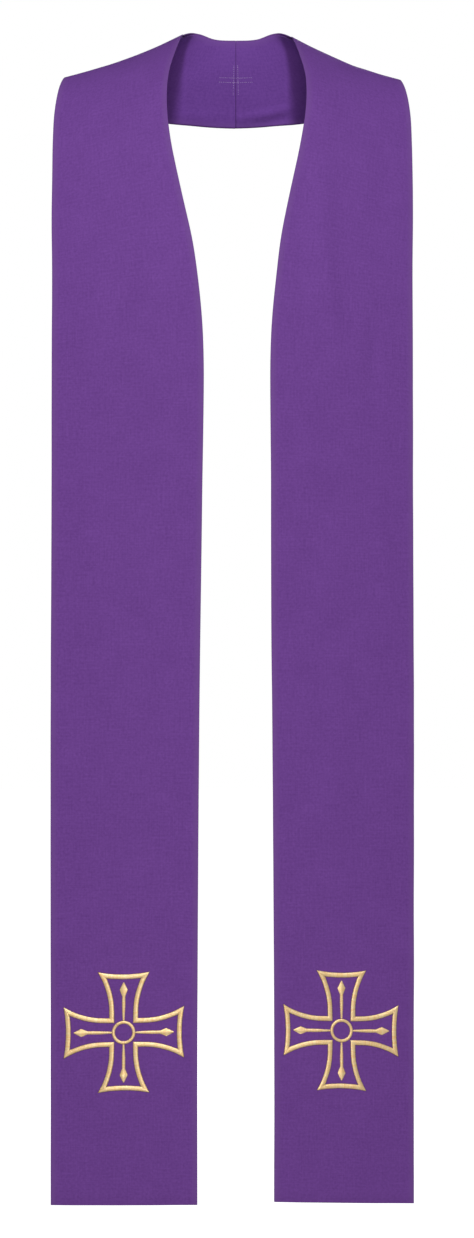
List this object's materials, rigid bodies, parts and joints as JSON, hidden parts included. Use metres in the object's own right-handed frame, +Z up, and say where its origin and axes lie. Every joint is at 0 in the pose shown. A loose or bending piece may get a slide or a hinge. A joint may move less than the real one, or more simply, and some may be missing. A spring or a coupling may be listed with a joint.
{
  "type": "clerical stole",
  "caption": "Long lined cloth band worn round the neck, with a seam at the centre back, plain straight-hemmed fronts and an embroidered cross near each hem; hollow as when worn.",
  "frame": {"origin": "middle of the neck opening, level with the shoulders that carry the stole", "axes": "+X to the wearer's left, +Y to the wearer's back, +Z up"},
  "size_m": [0.3728, 0.2334, 1.2272],
  "materials": {
    "purple_cloth": "matt plain weave",
    "lining_cloth": "matt plain weave",
    "gold_thread": "satin stitch"
  },
  "bodies": {
    "root": {"right_outer": "purple_cloth", "left_outer": "purple_cloth", "right_lining": "lining_cloth", "left_lining": "lining_cloth", "right_cross_border": "gold_thread", "left_cross_border": "gold_thread", "right_cross_ring": "gold_thread", "left_cross_ring": "gold_thread", "back_neck_cross": "gold_thread"}
  },
  "joints": []
}
